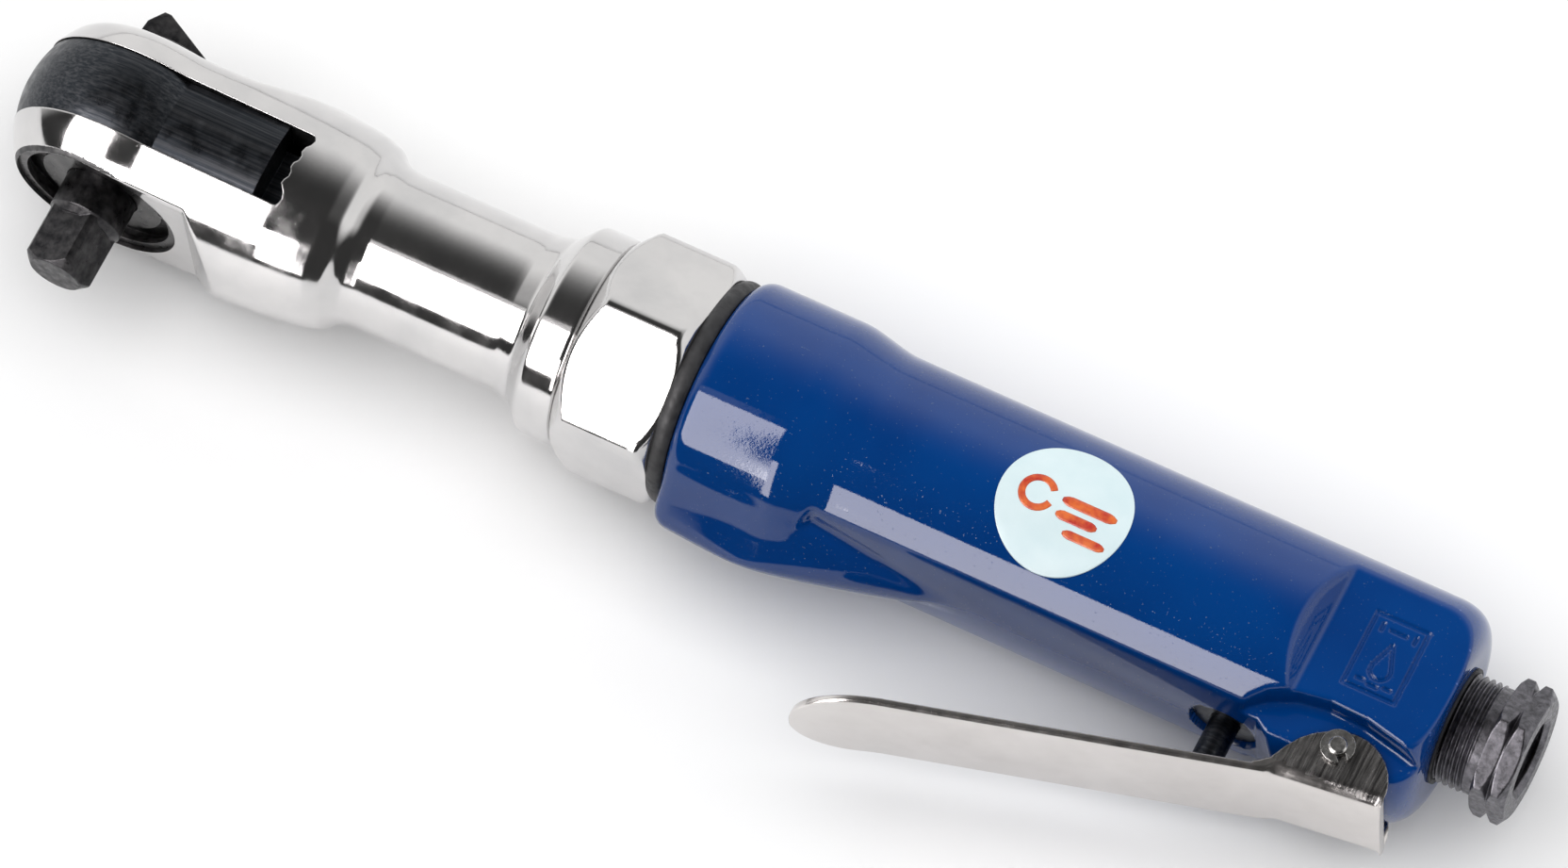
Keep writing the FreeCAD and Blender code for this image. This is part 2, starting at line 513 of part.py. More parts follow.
# --------------------------------------------------------------- drive anvil
def rot_sq(s):
    return turned(s, SQ_TURN, V(0, 0, 0), V(0, 1, 0))
an = cyl("y", 10.0, -9.7, -6.6).fuse(cyl("y", 10.8, -6.7, 7.2)).fuse(cyl("y", 8.95, 7.1, 11.1))
an = an.fuse(cyl("y", 6.5, SQ_TOP - 0.2, -9.6))
h = SQ / 2
sqb = box(-h, h, SQ_TIP, SQ_TOP, -h, h).common(cyl("y", 6.1, SQ_TIP - 1, SQ_TOP + 1))
sqb = sqb.common(cone("y", 4.6, 6.4, SQ_TIP, SQ_TIP + 1.7).fuse(cyl("y", 6.4, SQ_TIP + 1.7, SQ_TOP + 1)))
neck = cone("y", 5.2, 6.5, SQ_TOP - 1.3, SQ_TOP - 0.2)
an = an.fuse(rot_sq(sqb)).fuse(neck)
an = an.cut(cyl("y", 3.3, -3.2, 12.0))                    # bore for the knob's stem
an = an.cut(cyl("y", 6.2, 9.0, 12.0))                     # knob shoulder
an = an.cut(box(3.6, 12, -4.6, 4.6, -12, 12))             # pawl pocket
an = an.cut(box(1.5, 4.0, -1.7, 1.7, -2.7, 2.7))          # window for the plunger
an = an.cut(cyl("y", 1.5, -6.4, 6.4, 6.9, 0))             # pawl pin seat
ballhole = rot_sq(cyl("z", 1.6, -6, -0.6, 0, -22.5))
an = an.cut(ballhole)
put("drive_anvil", an)
put("pawl_pin", cyl("y", 1.5, -6.3, 6.3, 6.9, 0))
# pawl: crescent with three teeth at each horn
pw_pts = []
for k in range(-50, 51, 5):
    a = math.radians(k)
    r = 10.9 if abs(k) >= 20 else 10.0
    if abs(k) >= 20 and (abs(k) // 5) % 2 == 1:
        r = 10.25
    pw_pts.append((r * math.cos(a), r * math.sin(a)))
pw_pts += [(5.6, 8.1), (4.7, 3.0), (4.7, -3.0), (5.6, -8.1)]
pwl = prism(pw_pts, "xz", -4.4, 4.4)
pwl = pwl.common(cyl("y", 10.92, -5, 5)).cut(cyl("y", 1.55, -6, 6, 6.9, 0))
put("pawl", pwl)
# reversing knob: stem with a cross plunger, dial and thumb fin
kn = cyl("y", 3.2, -3.0, 9.2).fuse(cyl("y", 6.1, 9.1, 14.6)).fuse(cyl("y", 8.2, 14.5, 15.9))
kn = fillet(kn, lambda e: abs(e.CenterOfMass.y - 15.9) < 0.01 and e.Length > 30, 0.6)
fin = prism([(-7.4, 15.6), (-7.2, 19.6), (-5.4, 22.35), (-4.2, 22.35), (5.6, 17.0), (7.4, 15.6)], "xy", -2.6, 2.6)
fin = fin.common(prism([(15.6, -2.6), (15.6, 2.6), (22.35, 1.5), (22.35, -1.5)], "yz", -20, 20))
kn = kn.fuse(fin)
kn = kn.cut(cyl("x", 1.3, -2.6, 5, 0, 0))
put("reverse_knob", kn)
plg = cyl("x", 1.25, -0.2, 3.2, 0, 0).fuse(Part.makeSphere(1.25, V(3.1, 0, 0))).removeSplitter()
put("detent_plunger", plg)
dsp = None
for i in range(4):
    tt = Part.makeTorus(0.9, 0.22, V(-2.3 + i * 0.6, 0, 0), V(1, 0, 0))
    dsp = tt if dsp is None else dsp.fuse(tt)
put("detent_spring", dsp)
put("anvil_bushing", cyl("y", 12.4, -9.8, SLOT_BOT).cut(cyl("y", 10.05, -12, -5)))
put("thrust_washer", cyl("y", 11.2, -10.9, -9.9).cut(cyl("y", 6.65, -12, -5)))
rr = cyl("y", 15.6, -12.45, -11.45).cut(cyl("y", 13.4, -14, -5))
rr = rr.cut(turned(box(10, 20, -14, -10, -2.6, 2.6), -38, V(0, 0, 0), V(0, 1, 0)))
for dz in (3.9, -3.9):
    lug = cyl("y", 1.35, -12.45, -11.45, 12.9, dz).cut(cyl("y", 0.6, -14, -10, 12.9, dz))
    rr = rr.fuse(turned(lug, -38, V(0, 0, 0), V(0, 1, 0)))
    rr = rr.cut(turned(cyl("y", 0.6, -14, -10, 12.9, dz), -38, V(0, 0, 0), V(0, 1, 0)))
put("retaining_ring", rr)
put("socket_ball", rot_sq(Part.makeSphere(1.5, V(0, -22.5, -4.1))))
bs = None
for i in range(3):
    tt = Part.makeTorus(1.05, 0.22, V(0, -22.5, -0.95 - i * 0.65), V(0, 0, 1))
    bs = tt if bs is None else bs.fuse(tt)
put("ball_spring", rot_sq(bs))

# --------------------------------------------------------------------- write
os.makedirs("parts", exist_ok=True)
bb = None
for name, s in nodes.items():
    s = s.copy()
    s.translate(SHIFT)
    if not s.isValid():
        print("not valid:", name)
    s.exportStep("parts/%s.step" % name)
    b = s.BoundBox
    if bb is None:
        bb = FreeCAD.BoundBox(b.XMin, b.YMin, b.ZMin, b.XMax, b.YMax, b.ZMax)
    else:
        bb.add(b)
    print("%-22s solids %d  x %8.2f %8.2f  y %7.2f %7.2f  z %7.2f %7.2f" % (
        name, len(s.Solids), b.XMin, b.XMax, b.YMin, b.YMax, b.ZMin, b.ZMax))
print("nodes", len(nodes))
print("box", bb.XMin, bb.XMax, bb.YMin, bb.YMax, bb.ZMin, bb.ZMax)
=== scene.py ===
import bpy, json, math
import numpy as np
from mathutils import Vector, Matrix


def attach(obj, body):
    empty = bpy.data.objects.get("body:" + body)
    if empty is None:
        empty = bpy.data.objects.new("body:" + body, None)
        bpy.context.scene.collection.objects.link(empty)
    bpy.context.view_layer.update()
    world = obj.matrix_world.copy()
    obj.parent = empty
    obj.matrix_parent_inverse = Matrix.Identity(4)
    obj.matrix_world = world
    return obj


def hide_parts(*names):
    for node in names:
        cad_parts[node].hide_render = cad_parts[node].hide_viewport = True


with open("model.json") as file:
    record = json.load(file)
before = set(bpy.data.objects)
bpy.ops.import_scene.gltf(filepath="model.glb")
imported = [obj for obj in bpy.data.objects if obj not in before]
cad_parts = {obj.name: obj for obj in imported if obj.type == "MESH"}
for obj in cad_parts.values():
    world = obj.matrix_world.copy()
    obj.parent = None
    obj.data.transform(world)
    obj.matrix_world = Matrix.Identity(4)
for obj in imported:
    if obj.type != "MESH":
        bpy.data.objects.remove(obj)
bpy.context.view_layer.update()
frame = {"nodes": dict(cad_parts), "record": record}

SHIFT = np.array([-119.98, 12.155, 21.80])       # working millimetres -> stored frame
NODES = frame["nodes"]


def P(x, y, z):
    return Vector(((x + SHIFT[0]) / 1000, (y + SHIFT[1]) / 1000, (z + SHIFT[2]) / 1000))


# ------------------------------------------------------------------ mesh tools
def smax(a, b, k):
    h = np.maximum(k - np.abs(a - b), 0) / k
    return np.maximum(a, b) + h * h * k * 0.25


def smin(a, b, k):
    return -smax(-a, -b, k)


def step(a, b, x):
    t = np.clip((x - a) / (b - a), 0, 1)
    return t * t * (3 - 2 * t)


def mesh(name, V, F, smooth=True):
    V = (np.asarray(V, float).reshape(-1, 3) + SHIFT) / 1000.0
    me = bpy.data.meshes.new(name)
    me.from_pydata(V.tolist(), [], [tuple(int(i) for i in f) for f in F])
    me.validate(clean_customdata=False)
    me.polygons.foreach_set("use_smooth", [smooth] * len(me.polygons))
    me.update()
    o = bpy.data.objects.new(name, me)
    bpy.context.scene.collection.objects.link(o)
    return o


def grid(S, T, off=0, wrap_s=False, wrap_t=True, flip=False):
    s = np.arange(S if wrap_s else S - 1)
    t = np.arange(T if wrap_t else T - 1)
    a, b = np.meshgrid(s, t, indexing="ij")
    a2, b2 = (a + 1) % S, (b + 1) % T
    q = np.stack([a * T + b, a2 * T + b, a2 * T + b2, a * T + b2], -1).reshape(-1, 4) + off
    if flip:
        q = q[:, ::-1]
    return q.tolist()


def lathe(name, X, R, closed=True):
    """X, R: (stations, around). Stations run from the front to the back over the outside, then
    back through the bore; closed joins the last station to the first, else the ends are capped."""
    S, T = R.shape
    X = np.broadcast_to(X, R.shape) if np.ndim(X) == 2 else np.repeat(np.asarray(X)[:, None], T, 1)
    th = np.arange(T) / T * 2 * math.pi
    V = np.stack([X, R * np.cos(th), R * np.sin(th)], -1).reshape(-1, 3)
    F = grid(S, T, wrap_s=closed)
    if not closed:
        V = np.concatenate([V, [[X[0].mean(), 0, 0], [X[-1].mean(), 0, 0]]])
        a, b = S * T, S * T + 1
        F += [(a, i, (i + 1) % T) for i in range(T)]
        F += [(b, (S - 1) * T + (i + 1) % T, (S - 1) * T + i) for i in range(T)]
    return mesh(name, V, F)


def rod(name, axis, r, a, b, p=0.0, q=0.0, n=96):
    """Closed cylinder in working millimetres, used as a cutter."""
    th = np.arange(n) / n * 2 * math.pi
    c, s = r * np.cos(th), r * np.sin(th)
    ring = {"x": lambda v: np.stack([np.full(n, v), p + c, q + s], 1),
            "y": lambda v: np.stack([p + s, np.full(n, v), q + c], 1),
            "z": lambda v: np.stack([p + c, q + s, np.full(n, v)], 1)}[axis]
    V = np.concatenate([ring(a), ring(b)])
    F = [(i, i + n, (i + 1) % n + n, (i + 1) % n) for i in range(n)]
    F += [tuple(range(n)), tuple(range(2 * n - 1, n - 1, -1))]
    return mesh(name, V, F, False)


def fix_normals(o):
    import bmesh
    bm = bmesh.new()
    bm.from_mesh(o.data)
    bmesh.ops.recalc_face_normals(bm, faces=bm.faces)
    bm.to_mesh(o.data)
    bm.free()


def block(name, x0, x1, y0, y1, z0, z1):
    V = [(x, y, z) for x in (x0, x1) for y in (y0, y1) for z in (z0, z1)]
    F = [(0, 1, 3, 2), (4, 6, 7, 5), (0, 4, 5, 1), (2, 3, 7, 6), (0, 2, 6, 4), (1, 5, 7, 3)]
    return mesh(name, V, F, False)


def carve(o, cutters, sharp=34):
    """Cuts closed meshes out of o, applies the result and marks the cut edges sharp."""
    fix_normals(o)
    for c in cutters:
        fix_normals(c)
        m = o.modifiers.new("cut", "BOOLEAN")
        m.operation, m.object = "DIFFERENCE", c
        try:
            m.solver = "MANIFOLD"
        except Exception:
            m.solver = "EXACT"
    dg = bpy.context.evaluated_depsgraph_get()
    me = bpy.data.meshes.new_from_object(o.evaluated_get(dg))
    o.modifiers.clear()
    old = o.data
    o.data = me
    bpy.data.meshes.remove(old)
    for c in cutters:
        bpy.data.objects.remove(c)
    me.polygons.foreach_set("use_smooth", [True] * len(me.polygons))
    me.set_sharp_from_angle(angle=math.radians(sharp))


# ------------------------------------------------------------------- materials
class Mat:
    def __init__(s, name, color=(0.5, 0.5, 0.5), metallic=0.0, rough=0.3, spec=0.5, coat=0.0, coat_rough=0.03, aniso=0.0):
        s.m = bpy.data.materials.new(name)
        s.m.use_nodes = True
        s.nt = s.m.node_tree
        s.b = s.nt.nodes["Principled BSDF"]
        s.b.inputs["Base Color"].default_value = (*color, 1)
        s.b.inputs["Metallic"].default_value = metallic
        s.b.inputs["Roughness"].default_value = rough
        s.b.inputs["Specular IOR Level"].default_value = spec
        s.b.inputs["Coat Weight"].default_value = coat
        s.b.inputs["Coat Roughness"].default_value = coat_rough
        s.b.inputs["Anisotropic"].default_value = aniso
        s.tc = s.nt.nodes.new("ShaderNodeTexCoord")
        s.normal = None
        s.m.diffuse_color = (*color, 1)

    def link(s, a, b):
        s.nt.links.new(a, b)

    def vec(s, sc=(1, 1, 1), rot=(0, 0, 0)):
        n = s.nt.nodes.new("ShaderNodeMapping")
        n.inputs["Scale"].default_value = sc
        n.inputs["Rotation"].default_value = rot
        s.link(s.tc.outputs["Object"], n.inputs["Vector"])
        return n.outputs["Vector"]

    def noise(s, scale, detail=4.0, rough=0.5, sc=(1, 1, 1), dist=0.0, rot=(0, 0, 0)):
        n = s.nt.nodes.new("ShaderNodeTexNoise")
        n.inputs["Scale"].default_value = scale
        n.inputs["Detail"].default_value = detail
        n.inputs["Roughness"].default_value = rough
        n.inputs["Distortion"].default_value = dist
        s.link(s.vec(sc, rot), n.inputs["Vector"])
        return n.outputs[0]

    def cells(s, scale, sc=(1, 1, 1), color=False):
        n = s.nt.nodes.new("ShaderNodeTexVoronoi")
        n.inputs["Scale"].default_value = scale
        s.link(s.vec(sc), n.inputs["Vector"])
        return n.outputs["Color"] if color else n.outputs["Distance"]

    def rng(s, v, a, b, c, d):
        n = s.nt.nodes.new("ShaderNodeMapRange")
        n.inputs[1].default_value, n.inputs[2].default_value = a, b
        n.inputs[3].default_value, n.inputs[4].default_value = c, d
        s.link(v, n.inputs[0])
        return n.outputs[0]

    def math(s, op, a, b=0.0):
        n = s.nt.nodes.new("ShaderNodeMath")
        n.operation = op
        for i, v in enumerate((a, b)):
            if isinstance(v, (int, float)):
                n.inputs[i].default_value = v
            else:
                s.link(v, n.inputs[i])
        return n.outputs[0]

    def mix(s, f, a, b):
        n = s.nt.nodes.new("ShaderNodeMix")
        n.data_type = "RGBA"
        s.link(f, n.inputs[0])
        for i, v in ((6, a), (7, b)):
            if isinstance(v, tuple):
                n.inputs[i].default_value = (*v, 1)
            else:
                s.link(v, n.inputs[i])
        return n.outputs[2]

    def edge(s, r, lo=0.02, hi=0.25):
        """1 along convex edges, 0 on open surface."""
        g = s.nt.nodes.new("ShaderNodeNewGeometry")
        return s.rng(g.outputs["Pointiness"], 0.5 + lo * 0.5, 0.5 + hi * 0.5, 0.0, 1.0)

    def round(s, r):
        n = s.nt.nodes.new("ShaderNodeBevel")
        n.samples = 6
        n.inputs["Radius"].default_value = r / 1000
        s.normal = n.outputs[0]

    def bump(s, h, strength, dist):
        n = s.nt.nodes.new("ShaderNodeBump")
        n.inputs["Strength"].default_value = strength
        n.inputs["Distance"].default_value = dist / 1000
        s.link(h, n.inputs["Height"])
        if s.normal is not None:
            s.link(s.normal, n.inputs["Normal"])
        s.normal = n.outputs[0]

    def color(s, v):
        s.link(v, s.b.inputs["Base Color"])

    def rough(s, v):
        s.link(v, s.b.inputs["Roughness"])

    def done(s, coat=False):
        if s.normal is not None:
            s.link(s.normal, s.b.inputs["Normal"])
            if coat:
                s.link(s.normal, s.b.inputs["Coat Normal"])
        return s.m


def make_materials():
    M = {}
    # deep gloss enamel over a cast grip
    a = Mat("blue_enamel", (0.0, 0.03, 0.13), 0.0, 0.5, 0.0, coat=1.0, coat_rough=0.03)
    a.b.inputs["Coat IOR"].default_value = 1.5
    n = a.noise(55, 3, 0.5)
    base = a.mix(a.rng(n, 0.35, 0.65, 0, 1), (0.0, 0.032, 0.165), (0.0, 0.039, 0.19))
    specks = a.rng(a.noise(2600, 1, 0.4), 0.735, 0.77, 0, 1)
    base = a.mix(specks, base, (0.05, 0.09, 0.2))
    # convex edges and creases are lightened towards pale blue: a painted edge highlight
    a.color(a.mix(a.math("MULTIPLY", a.edge(0.4, 0.10, 0.42), 0.8), base, (0.09, 0.16, 0.42)))
    a.rough(a.rng(a.noise(300, 3), 0.3, 0.7, 0.28, 0.42))
    a.round(0.45)
    a.bump(a.noise(420, 3, 0.55), 0.10, 0.05)
    a.bump(a.noise(2600, 2, 0.6), 0.16, 0.012)
    a.bump(specks, 0.3, 0.03)
    M["blue_paint"] = a.done(True)
    # polished plating over forged steel
    a = Mat("chrome_plate", (0.8, 0.8, 0.8), 1.0, 0.08)
    n = a.noise(90, 4, 0.55)
    a.color(a.mix(a.rng(n, 0.35, 0.7, 0, 1), (0.66, 0.65, 0.645), (0.57, 0.565, 0.565)))
    a.rough(a.rng(a.noise(260, 4, 0.6), 0.3, 0.7, 0.05, 0.13))
    a.round(0.35)
    a.bump(a.noise(130, 3, 0.5), 0.22, 0.10)
    a.bump(a.noise(1500, 3, 0.65), 0.20, 0.016)
    a.bump(a.rng(a.cells(1400), 0.0, 0.13, 0, 1), 0.18, 0.02)
    M["chrome"] = a.done()
    a = Mat("bore_machined", (0.1, 0.1, 0.1), 1.0, 0.4)
    n = a.noise(500, 4, 0.6)
    a.color(a.mix(a.rng(n, 0.3, 0.7, 0, 1), (0.035, 0.035, 0.037), (0.11, 0.11, 0.11)))
    a.rough(a.rng(a.noise(800, 3), 0.3, 0.7, 0.35, 0.55))
    a.round(0.2)
    a.bump(n, 0.3, 0.03)
    M["bore_dark"] = a.done()
    # moulded rubber
    a = Mat("seal_rubber", (0.015, 0.015, 0.016), 0.0, 0.55, 0.4)
    a.color(a.mix(a.rng(a.noise(400, 3), 0.3, 0.7, 0, 1), (0.01, 0.01, 0.011), (0.028, 0.028, 0.03)))
    a.rough(a.rng(a.noise(900, 3), 0.3, 0.7, 0.4, 0.65))
    a.round(0.3)
    a.bump(a.noise(1800, 3), 0.3, 0.02)
    M["black_rubber"] = a.done()
    # spangled dark plating
    a = Mat("gunmetal_plate", (0.2, 0.2, 0.22), 1.0, 0.42)
    c = a.cells(900, color=True)
    f = a.rng(a.noise(700, 3, 0.7), 0.3, 0.7, 0, 1)
    a.color(a.mix(f, (0.065, 0.065, 0.07), (0.19, 0.185, 0.205)))
    a.rough(a.rng(a.noise(1300, 3), 0.3, 0.7, 0.28, 0.55))
    a.round(0.25)
    a.bump(c, 0.18, 0.03)
    a.bump(a.noise(1200, 4, 0.7), 0.35, 0.04)
    M["gunmetal"] = a.done()
    # brass
    a = Mat("turned_brass", (0.55, 0.38, 0.14), 1.0, 0.3)
    a.color(a.mix(a.rng(a.noise(200, 4), 0.3, 0.7, 0, 1), (0.5, 0.33, 0.12), (0.62, 0.45, 0.2)))
    a.rough(a.rng(a.noise(600, 3), 0.3, 0.7, 0.22, 0.4))
    a.round(0.15)
    a.bump(a.noise(300, 3, 0.6, sc=(1, 14, 1)), 0.2, 0.02)
    M["brass"] = a.done()
    # printed film label
    a = Mat("label_film", (0.60, 0.72, 0.75), 0.0, 0.38, 0.4, coat=0.25, coat_rough=0.2)
    a.color(a.mix(a.rng(a.noise(160, 4), 0.3, 0.7, 0, 1), (0.56, 0.69, 0.72), (0.62, 0.735, 0.76)))
    a.rough(a.rng(a.noise(600, 3), 0.3, 0.7, 0.32, 0.46))
    a.bump(a.noise(1400, 3), 0.15, 0.01)
    M["label"] = a.done()
    a = Mat("label_ink", (0.55, 0.05, 0.02), 0.0, 0.35, 0.5, coat=0.3, coat_rough=0.1)
    f = a.rng(a.noise(330, 3, 0.6), 0.38, 0.62, 0, 1)
    a.color(a.mix(f, (0.42, 0.016, 0.008), (0.66, 0.13, 0.02)))
    a.rough(a.rng(a.noise(800, 3), 0.3, 0.7, 0.3, 0.45))
    a.bump(a.noise(1800, 3), 0.2, 0.01)
    M["ink"] = a.done()
    # black oxide, brushed along the tool
    a = Mat("black_oxide_brushed", (0.03, 0.03, 0.033), 1.0, 0.34)
    st = a.noise(420, 5, 0.7, sc=(0.06, 5, 5))
    a.color(a.mix(a.rng(st, 0.42, 0.66, 0, 1), (0.030, 0.034, 0.040), (0.085, 0.088, 0.095)))
    a.rough(a.rng(a.noise(500, 3), 0.3, 0.7, 0.26, 0.46))
    a.round(0.25)
    a.bump(st, 0.25, 0.012)
    a.bump(a.noise(1600, 3), 0.12, 0.01)
    M["black_oxide"] = a.done()
    a = Mat("black_oxide_cast", (0.03, 0.03, 0.033), 1.0, 0.36)
    n = a.noise(500, 5, 0.6)
    w = a.math("MULTIPLY", a.edge(0.3, 0.1, 0.5), 0.8)
    base = a.mix(a.rng(n, 0.35, 0.65, 0, 1), (0.022, 0.022, 0.024), (0.075, 0.073, 0.075))
    a.color(a.mix(w, base, (0.25, 0.24, 0.24)))
    a.rough(a.rng(a.noise(800, 3), 0.3, 0.7, 0.26, 0.5))
    a.round(0.3)
    a.bump(n, 0.35, 0.03)
    a.bump(a.noise(2200, 3), 0.25, 0.015)
    M["black_cast"] = a.done()
    # satin nickel pressing: fine vertical grain, faint rubs
    a = Mat("satin_nickel", (0.66, 0.64, 0.62), 1.0, 0.25)
    st = a.noise(700, 4, 0.6, sc=(3.2, 0.18, 0.5))
    a.color(a.mix(a.rng(a.noise(60, 4, 0.6), 0.3, 0.7, 0, 1), (0.60, 0.575, 0.56), (0.70, 0.675, 0.66)))
    a.rough(a.rng(a.noise(500, 4, 0.6, sc=(1, .3, 1)), 0.3, 0.7, 0.14, 0.26))
    a.round(0.3)
    a.bump(st, 0.22, 0.02)
    a.bump(a.noise(1700, 3, 0.6), 0.2, 0.012)
    M["satin_nickel"] = a.done()
    # the ears: coarse upright scratches from linishing
    a = Mat("nickel_linished", (0.6, 0.58, 0.57), 1.0, 0.25)
    st = a.noise(900, 5, 0.75, sc=(2.4, 0.10, 0.6), rot=(0, 0, 0.12))
    f = a.rng(st, 0.40, 0.62, 0, 1)
    a.color(a.mix(f, (0.16, 0.155, 0.155), (0.62, 0.60, 0.59)))
    a.rough(a.rng(a.noise(700, 4, 0.6, sc=(1, .2, 1)), 0.3, 0.7, 0.14, 0.34))
    a.round(0.3)
    a.bump(st, 0.8, 0.05)
    a.bump(a.noise(1700, 3, 0.6), 0.3, 0.02)
    M["nickel_ear"] = a.done()
    for slot, lo, hi, r0, r1 in (("bright_steel", (0.52, 0.51, 0.5), (0.74, 0.73, 0.71), 0.14, 0.32),
                                 ("spring_steel", (0.05, 0.05, 0.052), (0.14, 0.135, 0.135), 0.25, 0.42),
                                 ("washer_steel", (0.05, 0.05, 0.052), (0.13, 0.128, 0.125), 0.25, 0.4)):
        a = Mat(slot + "_ground", hi, 1.0, 0.25)
        n = a.noise(450, 4, 0.6)
        a.color(a.mix(a.rng(n, 0.3, 0.7, 0, 1), lo, hi))
        a.rough(a.rng(a.noise(900, 3), 0.3, 0.7, r0, r1))
        a.round(0.15)
        a.bump(n, 0.25, 0.02)
        a.bump(a.noise(2000, 3, 0.6, sc=(1, 1, 5)), 0.2, 0.012)
        M[slot] = a.done()
    a = Mat("phenolic_blade", (0.3, 0.17, 0.08), 0.0, 0.55)
    n = a.noise(260, 5, 0.6, sc=(0.2, 4, 4))
    a.color(a.mix(a.rng(n, 0.3, 0.7, 0, 1), (0.2, 0.1, 0.045), (0.38, 0.23, 0.12)))
    a.rough(a.rng(a.noise(700, 3), 0.3, 0.7, 0.45, 0.65))
    a.bump(n, 0.3, 0.03)
    M["phenolic"] = a.done()
    return M


MATS = make_materials()


def dress(o, key):
    o.data.materials.clear()
    o.data.materials.append(MATS[key])


slot_of = {s["node"]: s["material_slot"] for s in frame["record"]["subparts"]}
CAST = {"reverse_knob", "drive_anvil", "anvil_bushing", "crank_idler", "pawl"}
for name, o in NODES.items():
    key = "black_cast" if name in CAST else slot_of.get(name, "bright_steel")
    if not o.data.materials:
        o.data.materials.append(MATS[key])
    for i in range(len(o.material_slots)):
        o.material_slots[i].material = MATS[key]

# ---------------------------------------------------------- motor housing skin
GRIP_R, COLLAR_R = 19.65, 21.4
PIN_X, PIN_Y = 232.5, -15.6
SCOOP = np.array([(-19.5, -6.0), (-18.6, -2.8), (-16.6, 0.6), (-14.0, 2.8), (-9.5, 4.9), (-4.1, 5.75), (2.5, 5.5),
                  (9.0, 4.1), (15.5, 2.3), (19.0, 1.3)]) + [PIN_X, PIN_Y]
KEEL = [(110.0, -17.9, 11.5), (110.0, -25.3, 0.1), (128.0, -17.9, 11.5), (127.5, -27.0, 0.1),
        (136.6, -15.9, 10.0), (153.3, -17.0, 0.5), (162.0, -16.9, 3.0)]


def hull_planes(pts):
    p = np.array([(x, y, z * k) for x, y, z in pts for k in (1, -1)], float)
    out = []
    n = len(p)
    for i in range(n):
        for j in range(i + 1, n):
            for k in range(j + 1, n):
                m = np.cross(p[j] - p[i], p[k] - p[i])
                L = np.linalg.norm(m)
                if L < 1e-6:
                    continue
                m = m / L
                d = (p - p[i]) @ m
                if d.max() > 1e-4 and d.min() < -1e-4:
                    continue
                if d.max() > 1e-4:
                    m = -m
                w = m @ p[i]
                if not any(np.linalg.norm(a - m) < 1e-3 and abs(b - w) < 1e-2 for a, b in out):
                    out.append((m, w))
    return out


KEEL_PLANES = [(m, w) for m, w in hull_planes(KEEL) if m[0] > -0.97]


def seg_dist(x, y, ax, ay, bx, by):
    dx, dy = bx - ax, by - ay
    t = np.clip(((x - ax) * dx + (y - ay) * dy) / (dx * dx + dy * dy), 0, 1)
    return np.hypot(x - ax - t * dx, y - ay - t * dy)


def panel_relief(x, y):
    """Depth of the marks sunk in the label-side panel: an open frame, a drop and short bars."""
    fx0, fx1, fy0, fy1 = 228.6, 237.9, -5.9, 7.6
    d = np.full(np.shape(x), 9.0)
    for s in ((fx0, fy0, fx0, fy1), (fx0, fy1, fx1, fy1), (fx1, fy1, fx1, fy0), (fx1, fy0, fx0, fy0)):
        d = np.minimum(d, seg_dist(x, y, *s))
    g = 1 - step(0.22, 0.42, d)
    drop = np.abs(np.hypot(x - 233.4, y + 1.6) - 1.75) + np.where(y > -0.9, 9, 0)
    drop = np.minimum(drop, seg_dist(x, y, 231.8, -0.9, 233.4, 3.2))
    drop = np.minimum(drop, seg_dist(x, y, 235.0, -0.9, 233.4, 3.2))
    for s in ((230.4, -4.2, 231.6, -4.2), (232.6, -4.6, 234.2, -4.6), (235.2, -4.2, 236.4, -4.2),
              (230.4, 4.9, 230.4, 6.1), (232.0, 5.5, 234.8, 5.5), (236.4, 4.9, 236.4, 6.1)):
        drop = np.minimum(drop, seg_dist(x, y, *s))
    return np.maximum(g, 1 - step(0.18, 0.36, drop))


def housing_f(x, y, z):
    az = np.abs(z)
    r = np.sqrt(y * y + z * z)
    R = GRIP_R + (COLLAR_R - GRIP_R) * (1 - step(128.2, 139.6, x))
    body = r - R
    crown = np.sqrt((y - 35.9) ** 2 + z * z) - 52.8
    lift = np.where(x < 218.0, 0.0, (x - 218.0) * 0.66) + np.clip((136.5 - x) * 1.2, 0, 60)
    body = smax(body, crown - lift, 0.45)
    k = None
    for m, w in KEEL_PLANES:
        f = m[0] * x + m[1] * y + m[2] * z - w
        k = f if k is None else smax(k, f, 2.2)
    S = smin(body, k, 1.3)
    # ends
    S = smax(S, 110.0 - x, 3.2)
    S = smax(S, x - 246.0, 7.5)
    # side panels of the rear block
    sunk = 0.38 * panel_relief(x, y) * (z > 0)
    flat = az - 14.3 + sunk
    slope = (az - 14.3 - (222.2 - x) * 1.404) * 0.58
    S = smax(S, smin(flat, slope, 0.5), 0.55)
    # scooped flanks
    ys = np.interp(x, SCOOP[:, 0], SCOOP[:, 1], left=-24.0)
    ys = np.where(x < 213.0, -21.6 - (213.0 - x) * 4, ys)
    sl = np.gradient(SCOOP[:, 1], SCOOP[:, 0])
    sl = np.interp(x, SCOOP[:, 0], sl)
    gap = smax(9.2 - az, (y - ys) / np.sqrt(1 + np.clip(sl, -3, 3) ** 2), 0.9)
    S = smax(S, -gap, 0.7)
    # exhaust slots in the far flank of the belly
    for sx in (114.5, 119.0, 123.5, 128.0):
        bx = np.maximum(np.maximum(np.abs(x - sx) - 0.9, z + 8.0), np.maximum(-20.0 - y, y + 12.5))
        S = np.maximum(S, -bx)
    # mouth of the valve chest
    ch = np.maximum(np.hypot(x - 212.0, z) - 6.05, y + 14.5)
    S = np.maximum(S, -ch)
    return S


